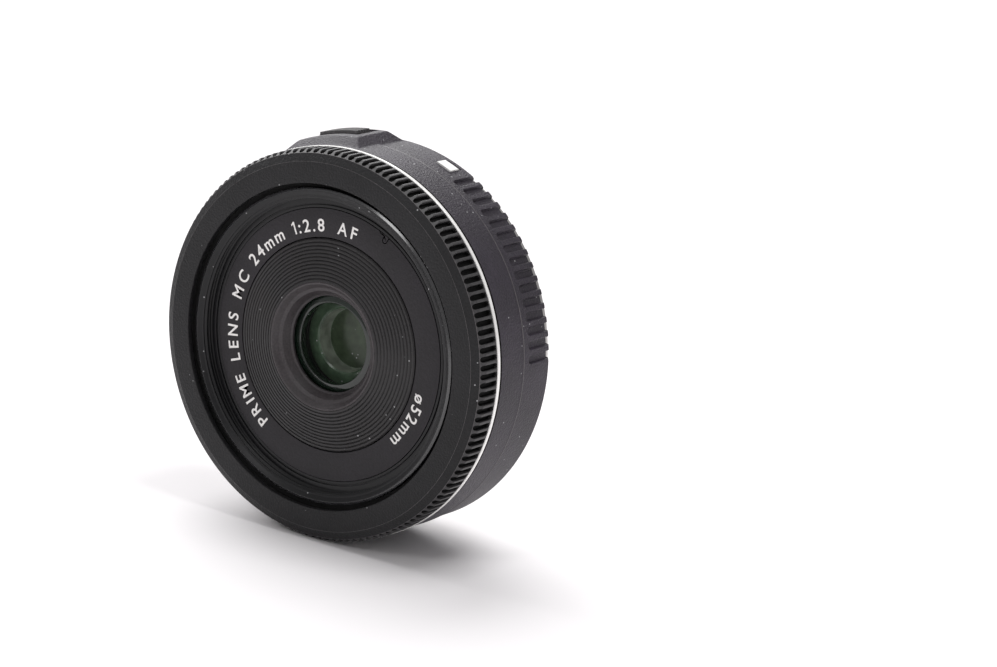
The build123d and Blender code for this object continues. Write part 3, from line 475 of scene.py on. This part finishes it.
def outer_barrel():
    outline = rounded([
        (27.6, 1.22), (33.15, 1.22, 0.1), (33.84, 2.15, 0.3), (33.84, 9.4, 0.2), (34.07, 9.74, 0.1),
        (34.0, 10.1, 0.2), (34.0, 16.3, 0.1), (33.1, 16.3), (33.1, 13.6), (32.4, 13.6),
        (32.4, 3.2), (27.6, 3.2)], 0.1)
    fine = spread(outline, 0.13, lambda r, s, r2, s2: min(r, r2) > 33.0 and abs(s2 - s) > 0.02)
    angles = []
    angle = 0.0
    while angle < 360.0:
        angles.append(angle)
        in_pad = 87.0 < angle < 121.0
        in_mark = 67.0 < angle < 73.0
        in_grip = 3.0 < angle < 65.0 or 183.0 < angle < 245.0
        angle += 0.12 if in_pad or in_mark else 0.2 if in_grip else 0.75
    skins = [MATERIALS["black_plastic"], MATERIALS["edge_highlight_plastic"], MATERIALS["painted_shade_plastic"]]
    obj = lathe("barrel_shell", fine, skins, shift=barrel_shift, angles=angles)
    # Painted highlight line along the crest of the step.
    paint(obj, lambda r, s, a: 9.56 < s < 9.9 and r > 33.88 and not 88 < a < 119, 1)
    # Painted shade on the floors of the grip notches, over their grazing reflection.
    paint(obj, lambda r, s, a: s < 2.3 and 32.0 < r < 33.5 and grip_depth(a, 2.0) > 0.2, 2)
    # Painted shade on the barrel's front face beside the trim ring, as a dark gap line.
    paint(obj, lambda r, s, a: s > 16.2 and r < 33.97, 2)
    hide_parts("outer_barrel")
    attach(obj, "barrel")


# ------------------------------------------------------------------ inner barrel and front
THREAD_PITCH = 0.75
THREAD_ROOT_R = 26.0
THREAD_HEIGHT = 0.4


def inner_barrel():
    outline = rounded([
        (26.75, 9.0), (27.5, 9.0), (27.5, 21.71, 0.05), (27.08, 21.95, 0.05),
        (26.92, 21.95, 0.1), (26.3, 21.55, 0.1),
        (THREAD_ROOT_R, 21.5, 0.05), (THREAD_ROOT_R, 19.95, 0.05), (25.5, 19.7, 0.1), (24.62, 19.7, 0.05),
        (24.62, 19.42, 0.03), (24.34, 19.42, 0.03), (24.34, 19.7, 0.05), (23.85, 19.7, 0.05),
        (23.85, 18.85), (18.9, 18.85), (18.9, 18.0), (10.25, 17.6), (10.25, 17.9), (9.7, 17.9),
        (9.7, 12.5), (8.6, 12.5), (8.6, 10.65), (10.8, 10.65), (10.8, 16.6), (26.75, 16.9)], 0.08)

    def on_root(r, s, r2, s2):
        return max(abs(r - THREAD_ROOT_R), abs(r2 - THREAD_ROOT_R)) < 0.02

    fine = spread(outline, 0.045, on_root)

    def thread(r, s, angle):
        if abs(r - THREAD_ROOT_R) > 0.02 or not 19.9 < s < 21.52:
            return r, s
        phase = (s / THREAD_PITCH + angle / 360.0) % 1.0
        ridge = 1 - abs(2 * phase - 1)
        fade = smooth(s, 19.95, 20.15) * (1 - smooth(s, 21.3, 21.5))
        return r - THREAD_HEIGHT * smooth(ridge, 0.15, 0.85) * fade, s

    skins = [MATERIALS["rim_plastic"], MATERIALS["rim_highlight_edge"]]
    obj = lathe("threaded_front_barrel", fine, skins, 540, shift=thread)
    # Painted highlight on the outer round of the front rim.
    paint(obj, lambda r, s, a: r > 27.05 and s > 21.68, 1)
    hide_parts("inner_barrel")
    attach(obj, "optical_unit")


NOTCH_ANGLE, NOTCH_R, NOTCH_HALF = 63.6, 22.95, 0.55
NOTCH_STEP_END = 1.5


def name_ring():
    outline = rounded([(18.72, 18.9), (23.78, 18.9), (23.78, 19.8, 0.07), (18.72, 19.8, 0.1)], 0.05)

    def notch(r, s, angle):
        """A U-shaped keyway in the outer edge, with a shallow step beside it."""
        if r < 23.3:
            return r, s
        off = radians((angle - NOTCH_ANGLE + 180) % 360 - 180) * NOTCH_R
        if abs(off) < NOTCH_HALF:
            return NOTCH_R - sqrt(NOTCH_HALF**2 - off**2), s
        return r - (0.26 if 0 < off < NOTCH_STEP_END else 0.0), s

    angles = []
    angle = 0.0
    while angle < 360.0:
        angles.append(angle)
        angle += 0.08 if 60.5 < angle < 67.0 else 0.6
    obj = lathe("lettered_ring", outline, [MATERIALS["cover_plastic"]], shift=notch, angles=angles)
    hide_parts("name_ring")
    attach(obj, "optical_unit")


def ring_key():
    """The tab that locks the lettered ring: it fills the keyway but for a fine dark gap."""
    gap = 0.17
    half = NOTCH_HALF - gap
    rim = [(23.84, -half)]
    rim += [(NOTCH_R - half * cos(radians(a)), half * sin(radians(a))) for a in range(-90, 91, 10)]
    rim += [(23.84, half), (23.5 + gap, half), (23.5 + gap, NOTCH_STEP_END - gap),
            (23.84, NOTCH_STEP_END - gap)]
    verts = [place(r, NOTCH_ANGLE + w / (NOTCH_R * pi / 180), s) for s in (18.9, 19.78) for r, w in rim]
    count = len(rim)
    faces = [tuple(range(count)), tuple(range(count, 2 * count))]
    faces += [(i, (i + 1) % count, (i + 1) % count + count, i + count) for i in range(count)]
    obj = new_object("ring_key_tab", verts, faces, [MATERIALS["cover_plastic"]])
    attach(obj, "optical_unit")


def front_cone():
    ridges = 12
    outer_r, crown_r, outer_s, crown_s = 18.55, 11.2, 19.85, 21.4
    points = [(18.55, 18.95), (outer_r, outer_s - 0.05)]
    for i in range(ridges):
        for part, rise in ((0.06, -0.1), (0.3, 0.06), (0.86, 0.06), (0.99, -0.1)):
            t = (i + part) / ridges
            points.append((outer_r + (crown_r - outer_r) * t, outer_s + (crown_s - outer_s) * t + rise, 0.05))
    points += [(crown_r - 0.1, crown_s + 0.04, 0.15), (10.85, crown_s, 0.3), (10.1, 20.5, 0.4),
               (9.5, 20.2, 0.2), (8.75, 18.95, 0.2), (8.42, 18.7, 0.08), (8.42, 18.25, 0.05),
               (8.9, 18.25), (9.3, 18.9), (10.9, 20.2), (18.0, 18.5), (18.0, 18.1), (18.55, 18.1)]
    outline = rounded(points, 0.05, 3)
    obj = lathe("ridged_cone", outline, [MATERIALS["cone_plastic"], MATERIALS["funnel_sheen_plastic"]], 540)
    # The funnel gets the lighter plastic: painted sheen.
    paint(obj, lambda r, s, a: r < crown_r + 0.05, 1)
    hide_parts("front_cover")
    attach(obj, "optical_unit")


def arc_points(apex, edge, radius, count):
    """Points of a spherical face from the axis out to its edge."""
    drop = apex - edge
    curve = (radius**2 + drop**2) / (2 * abs(drop))
    sign = 1 if drop > 0 else -1
    return [(radius * i / count, apex - sign * (curve - sqrt(curve**2 - (radius * i / count) ** 2)))
            for i in range(count + 1)]


def glasses():
    """The polished outer zone of the front glass, and an opaque dome inside it whose colours paint the depth
    of the optics: lifted shade, a painted reflection in the pupil and a painted highlight on its edge.
    """
    outline = rounded([(9.65, 17.65), (8.6, 17.95), (7.6, 18.22), (7.2, 18.3, 0.1), (7.05, 18.1, 0.1),
                       (7.25, 16.6), (9.65, 15.95)], 0.05)
    obj = lathe("front_element", outline, [MATERIALS["lens_glass"]], 256)
    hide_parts("front_glass")
    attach(obj, "optical_unit")
    pupil = 5.3
    outline = [(0.0, 12.2), (pupil, 12.0), (pupil + 0.12, 12.3), (pupil + 0.3, 14.75), (pupil + 0.6, 14.95),
               (7.4, 14.8), (9.6, 14.2), (8.4, 12.55), (4.0, 11.8), (0.0, 11.6)]
    skins = [MATERIALS["painted_depth_glass"], MATERIALS["pupil_painted_reflection"], MATERIALS["pupil_painted_highlight"]]
    obj = dome("inner_lens_group", outline, skins, 192)
    # The pupil gets its painted reflection, and its edge a painted highlight.
    paint(obj, lambda r, s, a: r < pupil and s > 11.9, 1)
    paint(obj, lambda r, s, a: pupil < r < pupil + 0.4 and s > 12.1, 2)
    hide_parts("second_glass")
    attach(obj, "optical_unit")

    outline = arc_points(-0.3, 0.0, 9.6, 24) + arc_points(-2.3, -1.5, 9.6, 24)[::-1]
    obj = dome("rear_element", outline, [MATERIALS["lens_glass"]], 192)
    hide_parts("rear_glass")
    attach(obj, "optical_unit")


# ------------------------------------------------------------------ lettering
LETTER_HEIGHT = 2.2
LETTER_FOOT_R = 19.75
LETTER_FACE_S = 19.81
CAP_SHARE = 0.72          # cap height over font size
STROKE_GAIN = 0.04        # widens every stroke, in mm


def figure_one():
    """A 1 with a flag, which the built-in letters lack."""
    rim = [(0.0, 1.55), (0.0, 1.85), (0.42, 2.2), (0.7, 2.2), (0.7, 0.0), (0.4, 0.0), (0.4, 1.78)]
    mesh = bpy.data.meshes.new("glyph")
    verts = [(x, y, z) for z in (-0.012, 0.012) for x, y in rim]
    count = len(rim)
    sides = [(i, (i + 1) % count, (i + 1) % count + count, i + count) for i in range(count)]
    mesh.from_pydata(verts, [], [tuple(range(count)), tuple(range(count, 2 * count))] + sides)
    return mesh


def glyph_mesh(text):
    """Outline of one character as an extruded mesh, in mm."""
    if text == "1":
        return figure_one()
    curve = bpy.data.curves.new("glyph", "FONT")
    curve.body = text
    curve.size = LETTER_HEIGHT / CAP_SHARE
    curve.offset = STROKE_GAIN
    curve.extrude = 0.012
    curve.resolution_u = 6
    obj = bpy.data.objects.new("glyph", curve)
    bpy.context.scene.collection.objects.link(obj)
    bpy.context.view_layer.update()
    mesh = bpy.data.meshes.new_from_object(obj)
    bpy.data.objects.remove(obj)
    return mesh


def arc_text(name, word, start, end):
    """Characters on a circle, feet towards the axis, evenly spaced clockwise from start to end."""
    glyphs = [glyph_mesh(letter) for letter in word]
    spans = [(min(v.co.x for v in g.vertices), max(v.co.x for v in g.vertices)) for g in glyphs]
    middle_r = LETTER_FOOT_R + LETTER_HEIGHT / 2
    length = radians(start - end) * middle_r
    gap = (length - sum(high - low for low, high in spans)) / max(1, len(word) - 1)
    verts, faces = [], []
    along = 0.0
    for glyph, (low, high) in zip(glyphs, spans):
        first = len(verts)
        middle = start - (along + (high - low) / 2) / (middle_r * pi / 180)
        for v in glyph.vertices:
            aside = v.co.x - (low + high) / 2
            r, turn = LETTER_FOOT_R + v.co.y, aside / (middle_r * pi / 180)
            verts.append(place(r, middle - turn, LETTER_FACE_S + v.co.z))
        faces += [tuple(first + i for i in poly.vertices) for poly in glyph.polygons]
        along += high - low + gap
    obj = new_object(name, verts, faces, [MATERIALS["print_white"]])
    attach(obj, "optical_unit")


def lettering():
    arc_text("ring_lettering_prime", "PRIME", 234.0, 207.0)
    arc_text("ring_lettering_lens", "LENS", 200.0, 176.5)
    arc_text("ring_lettering_coating", "MC", 168.5, 154.5)
    arc_text("ring_lettering_focal_length", "24mm", 148.0, 123.0)
    arc_text("ring_lettering_aperture", "1:2.8", 116.8, 97.4)
    arc_text("ring_lettering_autofocus", "AF", 89.5, 78.0)
    arc_text("ring_lettering_thread", "ø52mm", -12.0, -42.0)


# ------------------------------------------------------------------ carried-over CAD nodes
def dress_nodes():
    """Gives every CAD node that stays its material, and small round-overs where it shows."""
    slots = {part["node"]: part["material_slot"] for part in frame["record"]["subparts"]}
    softened = {"focus_mode_switch_knob": 0.22, "mount_index_mark": 0.12, "bayonet_mount": 0.12,
                "rear_light_baffle": 0.1, "contact_block": 0.1, "mount_screws": 0.04}
    special = {"focus_mode_switch_knob": "knob_plastic"}
    for node, obj in frame["nodes"].items():
        obj.data.materials.clear()
        obj.data.materials.append(MATERIALS[special.get(node, slots[node])])
        if node in softened:
            edge = obj.modifiers.new("edge_round", "BEVEL")
            edge.width = softened[node] * MM
            edge.segments = 2
            edge.limit_method = "ANGLE"
            edge.angle_limit = radians(40)
            edge.use_clamp_overlap = True


# ------------------------------------------------------------------ floor, light, camera
def floor_material():
    material, tree, shader, coords = node_material("pale_floor")
    tone = ramp(tree, noise(tree, coords, 6.0, 3.0), [(0.3, (0.86, 0.84, 0.85)), (0.7, (0.88, 0.86, 0.87))])
    tree.links.new(tone, shader.inputs["Base Color"])
    shader.inputs["Roughness"].default_value = 0.9
    return material


def stage(low):
    size = 6.0
    bpy.ops.mesh.primitive_plane_add(size=size, location=(0, 0, low))
    floor = bpy.context.object
    floor.name = "floor"
    floor.data.materials.append(floor_material())


def area_light(name, location, target, size, power):
    light = bpy.data.lights.new(name, "AREA")
    light.shape = "RECTANGLE"
    light.size, light.size_y = size
    light.energy = power
    obj = bpy.data.objects.new(name, light)
    obj.location = location
    obj.rotation_euler = (Vector(target) - Vector(location)).to_track_quat("-Z", "Y").to_euler()
    bpy.context.scene.collection.objects.link(obj)


def lights():
    """A broad key from above, behind and left, two small lamps in front and overhead, a pale room."""
    world = bpy.data.worlds.new("studio")
    bpy.context.scene.world = world
    world.use_nodes = True
    sky = world.node_tree.nodes["Background"]
    sky.inputs["Color"].default_value = (1.0, 0.99, 1.0, 1.0)
    sky.inputs["Strength"].default_value = 0.42
    key = bpy.data.lights.new("key", "SUN")
    key.energy = 3.0
    key.angle = radians(60)
    obj = bpy.data.objects.new("key", key)
    obj.rotation_euler = Vector((0.63, -0.4, -0.68)).to_track_quat("-Z", "Y").to_euler()
    bpy.context.scene.collection.objects.link(obj)
    area_light("front", (-0.07, -0.546, 0.42), (0, 0, 0), (0.16, 0.16), 0.5)
    area_light("top", (0.2, 0.02, 0.7), (0, 0, 0), (0.3, 0.3), 2.0)
    bpy.context.scene.view_settings.view_transform = "Standard"


CAMERA_PLACE = (0.3937, -0.5529, 0.1776)
CAMERA_YAW, CAMERA_PITCH, CAMERA_ROLL = -33.94, 14.63, 5.12
CAMERA_FOCAL_PX = 4000.0
IMAGE_WIDTH = 997.0
SENSOR = 36.0


def camera():
    data = bpy.data.cameras.new("camera")
    data.sensor_width = SENSOR
    data.sensor_fit = "HORIZONTAL"
    data.lens = SENSOR * CAMERA_FOCAL_PX / IMAGE_WIDTH
    data.clip_start = 0.01
    obj = bpy.data.objects.new("camera", data)
    bpy.context.scene.collection.objects.link(obj)
    yaw, pitch, roll = radians(CAMERA_YAW), radians(CAMERA_PITCH), radians(CAMERA_ROLL)
    ahead = Vector((sin(yaw) * cos(pitch), cos(yaw) * cos(pitch), -sin(pitch)))
    right = Vector((cos(yaw), -sin(yaw), 0))
    up = right.cross(ahead)
    across = right * cos(roll) + up * sin(roll)
    upward = up * cos(roll) - right * sin(roll)
    turn = Matrix((across, upward, -ahead)).transposed()
    obj.matrix_world = Matrix.Translation(CAMERA_PLACE) @ turn.to_4x4()
    bpy.context.scene.camera = obj


dress_nodes()
focus_ring()
silver_ring()
outer_barrel()
inner_barrel()
name_ring()
ring_key()
front_cone()
glasses()
lettering()
stage(cad_box[0][2])
lights()
camera()
